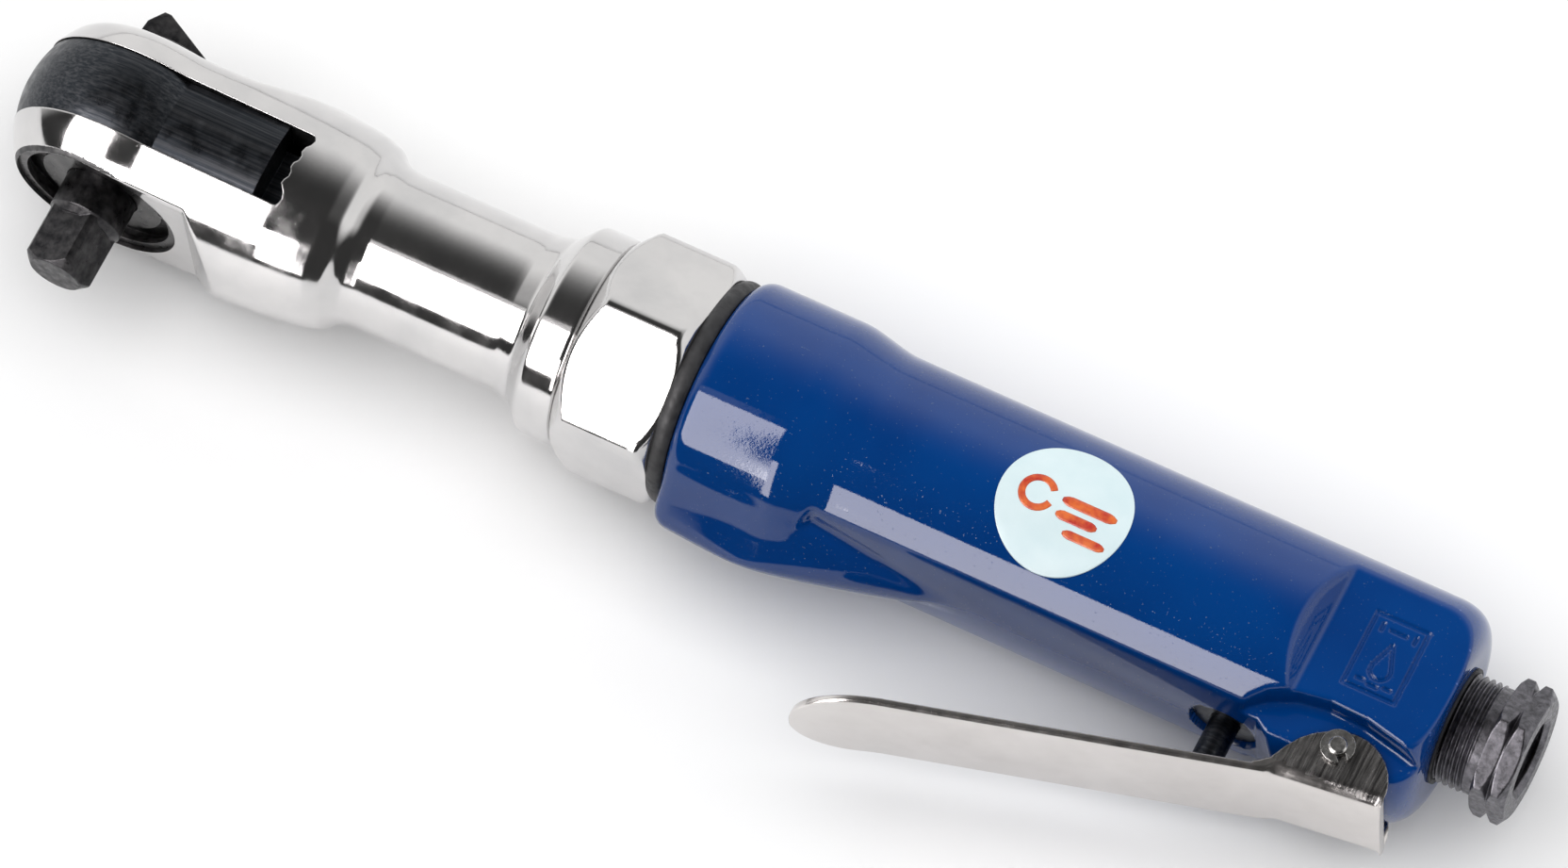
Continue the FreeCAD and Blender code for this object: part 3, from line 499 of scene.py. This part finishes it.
def motor_housing():
    T = 720
    th = np.arange(T) / T * 2 * math.pi
    rows = []          # (origin x, tilt)
    for a in np.linspace(-34.5, 0, 58):
        rows.append((122.0, a))
    xs = [122.25]
    while xs[-1] < 234.0:
        x = xs[-1]
        d = 0.45 if x < 130 else 0.6 if x < 148 else 0.8 if x < 204 else 0.4 if x < 213 else 0.26
        xs.append(x + d)
    for sx in (114.5, 119.0, 123.5, 128.0):
        for e in (-0.9, 0.9):
            if sx + e > 122:
                xs += [sx + e - 0.015, sx + e + 0.015]
    xs = sorted(xs)
    rows += [(x, 0.0) for x in xs]
    xe = xs[-1]
    end = math.degrees(math.atan((246 - xe) / 9.0))
    rows += [(xe, a) for a in np.linspace(0, end, 95)[1:]]
    ox = np.array([r[0] for r in rows])[:, None]
    ti = np.radians([r[1] for r in rows])[:, None]
    dx, dr = np.sin(ti), np.cos(ti)
    cy, cz = np.cos(th)[None, :], np.sin(th)[None, :]
    lo = np.full((len(rows), T), 7.0)
    hi = np.full((len(rows), T), 40.0)
    for _ in range(26):
        mid = (lo + hi) / 2
        f = housing_f(ox + mid * dx, mid * dr * cy, mid * dr * cz)
        inside = f < 0
        lo = np.where(inside, mid, lo)
        hi = np.where(inside, hi, mid)
    m = (lo + hi) / 2
    X, R = ox + m * dx, m * dr * np.ones_like(cy)
    # front spigot closes the shape towards the clamp nut
    pre = [(98.4, 17.45), (109.6, 17.45), (110.0, 17.45)]
    X = np.concatenate([np.array([[p[0]] * T for p in pre]), X])
    R = np.concatenate([np.array([[p[1]] * T for p in pre]), R])
    o = lathe("motor_housing_skin", X, R, closed=False)
    cut = [rod("c1", "x", 15.03, 98.0, 166.0), rod("c2", "x", 11.0, 165.9, 171.0), rod("c3", "x", 2.6, 170.5, 207.5, -7.6, 0, 32),
           rod("c4", "y", 6.02, -30, 12.6, 212.0, 0), rod("c5", "x", 5.0, 216.0, 231.0), rod("c6", "x", 9.36, 226.0, 260.0),
           rod("c7", "z", 1.62, -30, 30, PIN_X, PIN_Y, 48)]
    carve(o, cut, 30)
    return o


BARREL = [(0, 19.8), (10, 19.35), (20, 18.95), (26, 18.75), (32, 18.4), (38, 17.85), (41, 17.4), (43.6, 16.5), (45.0, 15.1),
          (46.3, 14.3), (48.6, 13.95), (75.0, 13.95), (78.6, 14.9), (81.2, 17.9), (82.0, 18.6), (100.0, 18.6)]


def ratchet_f(x, y, z):
    r = np.sqrt(y * y + z * z)
    bx = np.linspace(-5, 100, 1051)
    br = np.interp(bx, [b[0] for b in BARREL], [b[1] for b in BARREL])
    k = np.hanning(15)
    br = np.convolve(np.pad(br, 7, mode="edge"), k / k.sum(), mode="valid")
    bar = smax(r - np.interp(x, bx, br), -x, 0.5)
    ball = np.sqrt(x * x + (y - 0.4) ** 2 + z * z) - 20.3
    S = smin(ball, bar, 1.0)
    top = np.interp(x, [-30, 8, 11, 14.5, 18, 22, 26, 31, 36, 42], [14.2, 14.2, 14.25, 14.45, 15.0, 16.4, 17.9, 19.8, 22, 26])
    S = smax(S, (y - top) * 0.95, 3.6)
    ramp = np.where(x < 17.8, -13.3, -13.3 - (x - 17.8) * 0.793)
    S = smax(S, np.where(x < 17.8, -13.3 - y, (ramp - y) * 0.78), 0.45)
    return S


def ratchet_housing():
    T = 640
    th = np.arange(T) / T * 2 * math.pi
    rows = [(0.0, a) for a in np.linspace(-89.0, 0, 170)]
    rows += [(x, 0.0) for x in np.concatenate([np.arange(0.3, 16, 0.35), np.arange(16, 28, 0.22), np.arange(28, 40, 0.5),
                                              np.arange(40, 50, 0.2), np.arange(50, 75, 1.2), np.arange(75.2, 83.0, 0.2),
                                              np.arange(83.2, 87.9, 0.5)])]
    ox = np.array([r[0] for r in rows])[:, None]
    ti = np.radians([r[1] for r in rows])[:, None]
    dx, dr = np.sin(ti), np.cos(ti)
    cy, cz = np.cos(th)[None, :], np.sin(th)[None, :]
    lo = np.full((len(rows), T), 2.0)
    hi = np.full((len(rows), T), 40.0)
    for _ in range(26):
        mid = (lo + hi) / 2
        inside = ratchet_f(ox + mid * dx, mid * dr * cy, mid * dr * cz) < 0
        lo = np.where(inside, mid, lo)
        hi = np.where(inside, hi, mid)
    m = (lo + hi) / 2
    X, R = ox + m * dx, m * dr * np.ones_like(cy)
    post = [(88.0, 18.55), (88.3, 18.3), (88.4, 18.1), (88.4, 17.58), (97.6, 17.58)]
    X = np.concatenate([X, np.array([[p[0]] * T for p in post])])
    R = np.concatenate([R, np.array([[p[1]] * T for p in post])])
    o = lathe("ratchet_housing_skin", X, R, closed=False)
    # the slot's end is left as cast: an uneven outline between two clean walls
    top, bot = 7.3, -6.9
    end = [(32.75, bot + 0.55), (33.0, bot + 1.4), (32.7, bot + 2.4), (32.2, bot + 3.1), (31.75, bot + 3.7), (31.9, bot + 4.5),
           (32.35, bot + 5.3), (32.3, bot + 6.2), (31.9, bot + 6.9), (31.95, bot + 7.8), (32.5, bot + 8.6), (32.55, bot + 9.6),
           (32.2, bot + 10.3), (32.4, bot + 11.4), (32.95, bot + 12.2), (33.15, bot + 13.2), (32.9, top - 0.45)]
    out = [(-40, bot), (32.0, bot), (32.45, bot + 0.12)] + end + [(32.6, top - 0.08), (32.2, top), (-40, top)]
    V = [(x, y, -40) for x, y in out] + [(x, y, 40) for x, y in out]
    n = len(out)
    F = [(i, (i + 1) % n, (i + 1) % n + n, i + n) for i in range(n)] + [tuple(range(n)), tuple(range(2 * n - 1, n - 1, -1))]
    slot = mesh("slot", V, F, False)
    cut = [slot, block("p1", 31.4, 39.4, -5.7, 5.7, -13.3, 13.3), rod("b1", "x", 9.4, 38.9, 66.0),
           rod("b2", "x", 11.0, 65.9, 76.0), rod("b3", "x", 13.2, 75.9, 82.0), rod("b4", "x", 15.9, 81.9, 99.0, n=128),
           rod("y1", "y", 15.0, -20, -9.8, n=160), rod("y2", "y", 15.6, -12.5, -11.4, n=160), rod("y3", "y", 12.4, -9.9, -5.9, n=128),
           rod("y4", "y", 9.0, 6.3, 11.2, n=96), rod("y5", "y", 6.2, 11.1, 22.0, n=96)]
    carve(o, cut, 30)
    return o


def hexa(th, af, turn):
    """Distance from the axis to a hexagon's side; a corner sits at angle turn."""
    d = np.mod(th - math.radians(turn + 30) + math.pi / 6, math.pi / 3) - math.pi / 6
    return af / 2 / np.cos(d)


def clamp_nut():
    T = 720
    th = np.arange(T) / T * 2 * math.pi
    hx = hexa(th, 38.3, 90.0)
    ex = np.array([88.6, 88.62, 88.9, 89.6, 90.3, 91.0, 91.6, 92.4, 98.0, 104.0, 105.0, 105.6, 106.1, 106.5, 106.8, 106.97, 107.0])
    er = np.interp(ex, [88.6, 88.9, 91.0, 91.6, 104.9, 105.6, 106.8, 107.0], [18.7, 19.1, 21.3, 21.75, 21.75, 21.4, 20.1, 19.7])
    xs = np.concatenate([np.linspace(88.6, 92.4, 40), np.linspace(93.2, 104.2, 24), np.linspace(104.6, 107.0, 26)])
    er = np.interp(xs, ex, er)
    rows = [(88.6, np.full(T, 17.62))] + [(x, smin(hx, np.full(T, e), 0.7)) for x, e in zip(xs, er)]
    rows += [(107.0, np.full(T, 17.62))]
    # plain bore over the skirt; the thread phase is computed but given no depth
    for x in np.linspace(106.6, 89.0, 150):
        ph = (x / 1.5 - th / (2 * math.pi)) % 1.0
        rows.append((x, 17.62 + 0.0 * ph))
    return lathe("clamp_nut_forged", np.array([r[0] for r in rows]), np.array([r[1] for r in rows]))


def inlet():
    T = 432
    th = np.arange(T) / T * 2 * math.pi
    hx = hexa(th, 21.4, 30.3)
    rows = []
    # stem and its outside thread
    rows.append((226.0, np.full(T, 4.7)))
    rows.append((226.0, np.full(T, 9.3)))
    for x in np.linspace(226.4, 246.0, 8):
        rows.append((x, np.full(T, 9.3)))
    p = 1.2
    for x in np.arange(246.1, 252.2, 0.1):
        ph = (x / p - th / (2 * math.pi)) % 1.0
        saw = np.abs(ph * 2 - 1)
        d = np.clip(saw * 1.25 - 0.12, 0, 1) * 0.72
        fade = float(1 - step(251.2, 252.1, np.array(x)))
        rows.append((x, 9.62 - d * fade - 0.25 * (1 - fade)))
    rows.append((253.6, np.full(T, 9.37)))
    rows.append((253.7, np.full(T, 9.6)))
    xs = np.concatenate([np.linspace(253.7, 254.6, 12), np.linspace(254.8, 255.6, 5), np.linspace(255.7, 257.7, 34),
                         np.linspace(257.8, 258.7, 6), np.linspace(258.8, 260.0, 16)])
    env = np.interp(xs, [253.7, 253.75, 254.5, 255.8, 256.62, 256.78, 257.6, 258.8, 260.0],
                    [11.0, 11.3, 12.35, 12.35, 10.75, 10.75, 12.35, 12.35, 10.6])
    for x, e in zip(xs, env):
        rows.append((x, smin(hx, np.full(T, e), 0.28)))
    rows.append((260.0, np.full(T, 10.2)))
    rows.append((260.0, np.full(T, 7.4)))
    rows.append((259.9, np.full(T, 7.25)))
    # internal pipe thread
    for x in np.arange(259.2, 247.0, -0.12):
        ph = (x / 1.337 - th / (2 * math.pi)) % 1.0
        rows.append((x, 6.45 + np.clip(1 - np.abs(ph * 2 - 1) * 1.3, 0, 1) * 0.62 * min(1.0, (x - 247.0) / 1.2)))
    for x, r in ((246.8, 6.42), (243.02, 6.42), (243.0, 6.35), (243.0, 4.7), (242.9, 4.6), (226.2, 4.6)):
        rows.append((x, np.full(T, r)))
    o = lathe("inlet_bushing_threaded", np.array([r[0] for r in rows]), np.array([r[1] for r in rows]))
    fix_normals(o)
    o.data.set_sharp_from_angle(angle=math.radians(32))
    return o


# ------------------------------------------------------------ pressed lever
PEDAL = [(243.2, -20.7), (224.0, -23.0), (160.0, -40.4), (147.2, -45.0)]
EAR = np.array([(-11.6, -7.6), (-10.4, -7.0), (-9.2, -6.0), (-7.8, -3.05), (-6.4, -0.9), (-4.8, 0.7), (-2.0, 2.6), (0.0, 3.25),
                (2.0, 3.5), (3.7, 3.35), (5.2, 2.9), (6.7, 2.15), (8.1, 1.1), (9.2, -0.2), (10.0, -1.8), (10.5, -3.5), (10.7, -5.2)]) + [PIN_X, PIN_Y]


def lever():
    t = 1.5
    px = np.array([p[0] for p in PEDAL][::-1])
    py = np.array([p[1] for p in PEDAL][::-1])
    fx = np.linspace(140, 250, 1101)
    fy = np.interp(fx, px, py)
    fy = np.where(fx < px[0], py[0] + (fx - px[0]) * 0.36, fy)
    fy = np.where(fx > px[-1], py[-1] + (fx - px[-1]) * 0.12, fy)
    ker = np.hanning(61)
    fy = np.convolve(np.pad(fy, 30, mode="edge"), ker / ker.sum(), mode="valid")
    xs = np.concatenate([np.linspace(147.22, 150, 22), np.linspace(150.5, 158, 16), np.linspace(160, 218, 40),
                         np.linspace(218.6, 224.5, 32), np.linspace(225, 239.5, 40), np.linspace(239.8, 243.2, 34)])
    rows = []
    for x in xs:
        yi = np.interp(x, fx, fy)
        W = 11.0 if x >= 158 else max(1.2, math.sqrt(max(0.0, 121 - (158 - x) ** 2)))
        top = np.interp(x, EAR[:, 0], EAR[:, 1]) if x > EAR[0, 0] else yi
        if x > 242.9:
            top = top - (x - 242.9) * 3.0
        H = max(0.0, top - yi) + 0.0
        if x < 222.5:
            H = H * step(219.0, 222.5, x)
        k = step(0.2, 4.5, H)
        ro = min(0.75 + 1.9 * k, W * 0.5)
        tt = t - 0.15 * k
        # outer path from the +z edge over the fold to the middle, then mirrored
        out = [(W - 0.25, H), (W, H - 0.2 * min(1, H + 0.4) - 0.05)]
        h0 = -t + ro
        for q in np.linspace(0, 1, 14)[1:]:
            out.append((W, out[1][1] + (h0 - out[1][1]) * q))
        for a in np.linspace(0, 90, 11)[1:]:
            out.append((W - ro + ro * math.cos(math.radians(a)), -t + ro - ro * math.sin(math.radians(a))))
        for q in np.linspace(0, 1, 9)[1:]:
            out.append(((W - ro) * (1 - q), -t - 0.22 * math.sin(q * math.pi / 2) * min(1, W / 11)))
        ri = max(0.15, (ro - tt) * k)
        inn = [(W - 0.25 - (tt - 0.5) * k, H)]
        wi = W - 0.25 - (tt - 0.25) * k
        inn.append((wi, max(0.0, H - 0.25 * k)))
        for q in np.linspace(0, 1, 12)[1:]:
            inn.append((wi, inn[1][1] + (ri * k - inn[1][1]) * q))
        for a in np.linspace(0, 90, 8)[1:]:
            inn.append((wi - ri + ri * math.cos(math.radians(a)), ri * k - ri * k * math.sin(math.radians(a))))
        for q in np.linspace(0, 1, 9)[1:]:
            inn.append(((wi - ri) * (1 - q), 0.0))
        loop = out + [(-z, h) for z, h in out[-2::-1]] + [(-z, h) for z, h in inn] + inn[-2::-1]
        rows.append([(x, yi + h, z) for z, h in loop])
    V = np.array(rows)
    S, T = V.shape[:2]
    F = grid(S, T)
    F += [tuple(range(T)), tuple(range(S * T - 1, (S - 1) * T - 1, -1))]
    o = mesh("throttle_lever_pressed", V, F)
    carve(o, [rod("lp", "z", 1.66, -30, 30, PIN_X, PIN_Y, 48)], 38)
    return o


housing = motor_housing()
dress(housing, "blue_paint")
head = ratchet_housing()
dress(head, "chrome")
head.data.materials.append(MATS["bore_dark"])
for p in head.data.polygons:          # machined, unplated insides
    c = np.array(p.center) * 1000 - SHIFT
    n = p.normal
    rad, ry = math.hypot(c[1], c[2]), math.hypot(c[0], c[2])
    inward = n.y * c[1] + n.z * c[2] < 0 or abs(n.x) > 0.9
    if (c[0] > 31 and rad < 15.95 and inward) or (ry < 15.7 and -13.28 < c[1] < 11.25 and not (n.y < -0.9 and c[1] < -13.0)) \
            or (-7.0 < c[1] < 7.4 and abs(n.y) > 0.9):
        if not (ry > 18.5 and c[0] < 31 and abs(n.y) < 0.5):
            p.material_index = 1
nut = clamp_nut()
fix_normals(nut)
nut.data.set_sharp_from_angle(angle=math.radians(50))
dress(nut, "chrome")
inl = inlet()
dress(inl, "gunmetal")
lev = lever()
dress(lev, "satin_nickel")
lev.data.materials.append(MATS["nickel_ear"])
for p in lev.data.polygons:
    c = np.array(p.center) * 1000 - SHIFT
    if abs(p.normal.z) > 0.72 and abs(c[2]) > 9.0 and c[1] > -21.8 and c[0] > 221.5:
        p.material_index = 1
for o, node, body, slot in ((housing, "motor_housing", "housing", "blue_paint"), (nut, "clamp_nut", "housing", "chrome"),
                            (inl, "inlet_bushing", "housing", "gunmetal"), (head, "ratchet_housing", "housing", "chrome"), (lev, "throttle_lever", "lever", "satin_nickel")):
    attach(o, body)
    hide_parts(node)

# ---------------------------------------------------------------- label print
LAB = (175.3, 0.2)
LABEL_R = 11.5


def strip(name, pts, base=19.9, up=0.06):
    """Thin raised strip on the label. pts: (u, v, half width) along the tool and across it."""
    V, F = [], []
    n = len(pts)
    for i, (u, v, w) in enumerate(pts):
        a = pts[max(0, i - 1)]
        b = pts[min(n - 1, i + 1)]
        d = np.array([b[0] - a[0], b[1] - a[1]], float)
        d /= np.linalg.norm(d) + 1e-9
        nx, ny = -d[1], d[0]
        for k in np.linspace(-1, 1, 5):
            x, y = LAB[0] + u + nx * w * k, LAB[1] + v + ny * w * k
            rr = base + up * (1 - 0.6 * k * k)
            V.append((x, y, math.sqrt(rr * rr - y * y)))
        for k in np.linspace(1, -1, 5):
            x, y = LAB[0] + u + nx * w * k, LAB[1] + v + ny * w * k
            V.append((x, y, math.sqrt((base - 0.02) ** 2 - y * y)))
    F = grid(n, 10)
    F += [tuple(range(10)), tuple(range(n * 10 - 1, (n - 1) * 10 - 1, -1))]
    o = mesh(name, V, F)
    fix_normals(o)
    return o


def label_disc():
    """Round self-adhesive label, draped on the grip, with a softly rounded rim."""
    T, V = 120, []
    prof = [(q, 19.9) for q in np.linspace(0.02, 0.985, 14)] + [(0.995, 19.885), (1.0, 19.85), (1.0, 19.62)]
    for q, base in prof:
        for i in range(T):
            a = 2 * math.pi * i / T
            x, y = LAB[0] + LABEL_R * q * math.cos(a), LAB[1] + LABEL_R * q * math.sin(a)
            V.append((x, y, math.sqrt(base * base - y * y)))
    for i in range(T):
        a = 2 * math.pi * i / T
        x, y = LAB[0] + LABEL_R * 0.02 * math.cos(a), LAB[1] + LABEL_R * 0.02 * math.sin(a)
        V.append((x, y, math.sqrt(19.62 ** 2 - y * y)))
    n = len(prof) + 1
    F = grid(n, T)
    F += [tuple(range(T)), tuple(range(n * T - 1, (n - 1) * T - 1, -1))]
    o = mesh("label_disc_vinyl", V, F)
    fix_normals(o)
    return o


disc = label_disc()
dress(disc, "label")
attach(disc, "housing")
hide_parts("label_disc")
prints = []
ring = [(-5.0 + 2.7 * math.cos(a), 0.4 + 2.7 * math.sin(a), 0.62) for a in np.linspace(0.5, 2 * math.pi - 0.35, 40)]
prints.append(strip("label_mark_ring", ring))
for i, (u0, u1, v, w) in enumerate(((-0.8, 9.0, 1.1, 0.95), (-0.8, 6.6, -1.6, 0.85), (1.6, 9.2, -4.2, 0.75))):
    L = [(u0 + (u1 - u0) * q, v, w * min(1, 0.35 + 6 * q, 0.35 + 6 * (1 - q))) for q in np.linspace(0, 1, 14)]
    prints.append(strip("label_mark_bar_%d" % (i + 1), L))
for o in prints:
    dress(o, "ink")
    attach(o, "housing")

# ---------------------------------------------------------------------- floor
fl = Mat("studio_floor", (0.9, 0.9, 0.9), 0.0, 0.6, 0.2)
fl.color(fl.mix(fl.rng(fl.noise(6, 4), 0.3, 0.7, 0, 1), (0.87, 0.87, 0.875), (0.90, 0.90, 0.90)))
fl.bump(fl.noise(60, 3), 0.05, 0.2)
me = bpy.data.meshes.new("floor")
me.from_pydata([(-6, -6, 0), (6, -6, 0), (6, 6, 0), (-6, 6, 0)], [], [(0, 1, 2, 3)])
floor = bpy.data.objects.new("floor", me)
floor.location.z = -0.0002
bpy.context.scene.collection.objects.link(floor)
me.materials.append(fl.done())

# --------------------------------------------------------------------- lights
scene = bpy.context.scene


def area(name, lo, hi, dist, x0, x1, radiance, color=(1, 1, 1), glossy=True):
    """Softbox spanning lo..hi degrees from straight up towards -Y, and x0..x1 along the tool."""
    d = bpy.data.lights.new(name, "AREA")
    h = 2 * dist * math.tan(math.radians((hi - lo) / 2))
    d.shape, d.size, d.size_y = "RECTANGLE", x1 - x0, h
    d.energy, d.color = radiance * math.pi * (x1 - x0) * h, color
    o = bpy.data.objects.new(name, d)
    a = math.radians((lo + hi) / 2)
    back = Vector((0, -math.sin(a), math.cos(a)))
    right = Vector((1, 0, 0))
    up = back.cross(right)
    loc = back * dist + Vector(((x0 + x1) / 2, 0, 0.02))
    o.matrix_world = Matrix(((right.x, up.x, back.x, loc.x), (right.y, up.y, back.y, loc.y),
                             (right.z, up.z, back.z, loc.z), (0, 0, 0, 1)))
    scene.collection.objects.link(o)
    o.visible_glossy = glossy
    o.visible_diffuse = not glossy
    return o


area("softbox_front", 20.0, 70.5, 1.1, -1.25, -0.238, 8.0, (1.0, 0.965, 0.965))
area("softbox_rear", 50.0, 84.5, 1.1, -0.234, -0.085, 8.0, (1.0, 0.965, 0.965))
area("softbox_front_rim", 14.0, 19.8, 1.1, -1.25, -0.238, 0.7, (1.0, 0.98, 0.98))
area("fill_overhead", -26.0, 44.0, 1.6, -1.5, 1.5, 2.0, (1.0, 1.0, 1.0), glossy=False)
world = bpy.data.worlds.new("studio")
scene.world = world
world.use_nodes = True
nt = world.node_tree
bg = nt.nodes["Background"]
tc = nt.nodes.new("ShaderNodeTexCoord")
sep = nt.nodes.new("ShaderNodeSeparateXYZ")
nt.links.new(tc.outputs["Generated"], sep.inputs[0])


def wrange(v, a, b, c, d):
    n = nt.nodes.new("ShaderNodeMapRange")
    n.interpolation_type = "SMOOTHSTEP"
    n.inputs[1].default_value, n.inputs[2].default_value = a, b
    n.inputs[3].default_value, n.inputs[4].default_value = c, d
    nt.links.new(v, n.inputs[0])
    return n.outputs[0]


def wmath(op, a, b):
    n = nt.nodes.new("ShaderNodeMath")
    n.operation = op
    for i, v in enumerate((a, b)):
        if isinstance(v, (int, float)):
            n.inputs[i].default_value = v
        else:
            nt.links.new(v, n.inputs[i])
    return n.outputs[0]


low = wrange(sep.outputs["Z"], 0.45, 1.0, 1.0, 0.0)
side = wrange(sep.outputs["Y"], -0.30, 0.0, 0.0, 1.0)
glow = wmath("MULTIPLY", low, side)
strength = wmath("ADD", wmath("MULTIPLY", glow, 0.98), 0.045)
bg.inputs["Color"].default_value = (1.0, 0.995, 0.99, 1)
nt.links.new(strength, bg.inputs["Strength"])

# --------------------------------------------------------------------- camera
az, el, roll, D = math.radians(33.085), math.radians(66.805), math.radians(-6.910), 2000.0
c = Vector((0.2150, -0.3300, 0.9192)).normalized()
r = Vector((math.cos(az), math.sin(az), 0))
e1 = Vector((math.cos(az), math.sin(az), 0.0))
u = c.cross(e1)
rr = e1 * math.cos(roll) + u * math.sin(roll)
uu = -e1 * math.sin(roll) + u * math.cos(roll)
T0 = P(123.446, -1.065, 0.0)
loc = T0 + c * (D / 1000.0)
cam = bpy.data.cameras.new("camera")
cam.sensor_width = 36.0
cam.lens = 12780.0 / 1664.0 * 36.0
cam.clip_start, cam.clip_end = 0.05, 50
co = bpy.data.objects.new("camera", cam)
co.matrix_world = Matrix(((rr.x, uu.x, c.x, loc.x), (rr.y, uu.y, c.y, loc.y), (rr.z, uu.z, c.z, loc.z), (0, 0, 0, 1)))
scene.collection.objects.link(co)
scene.camera = co
scene.view_settings.view_transform = "Standard"
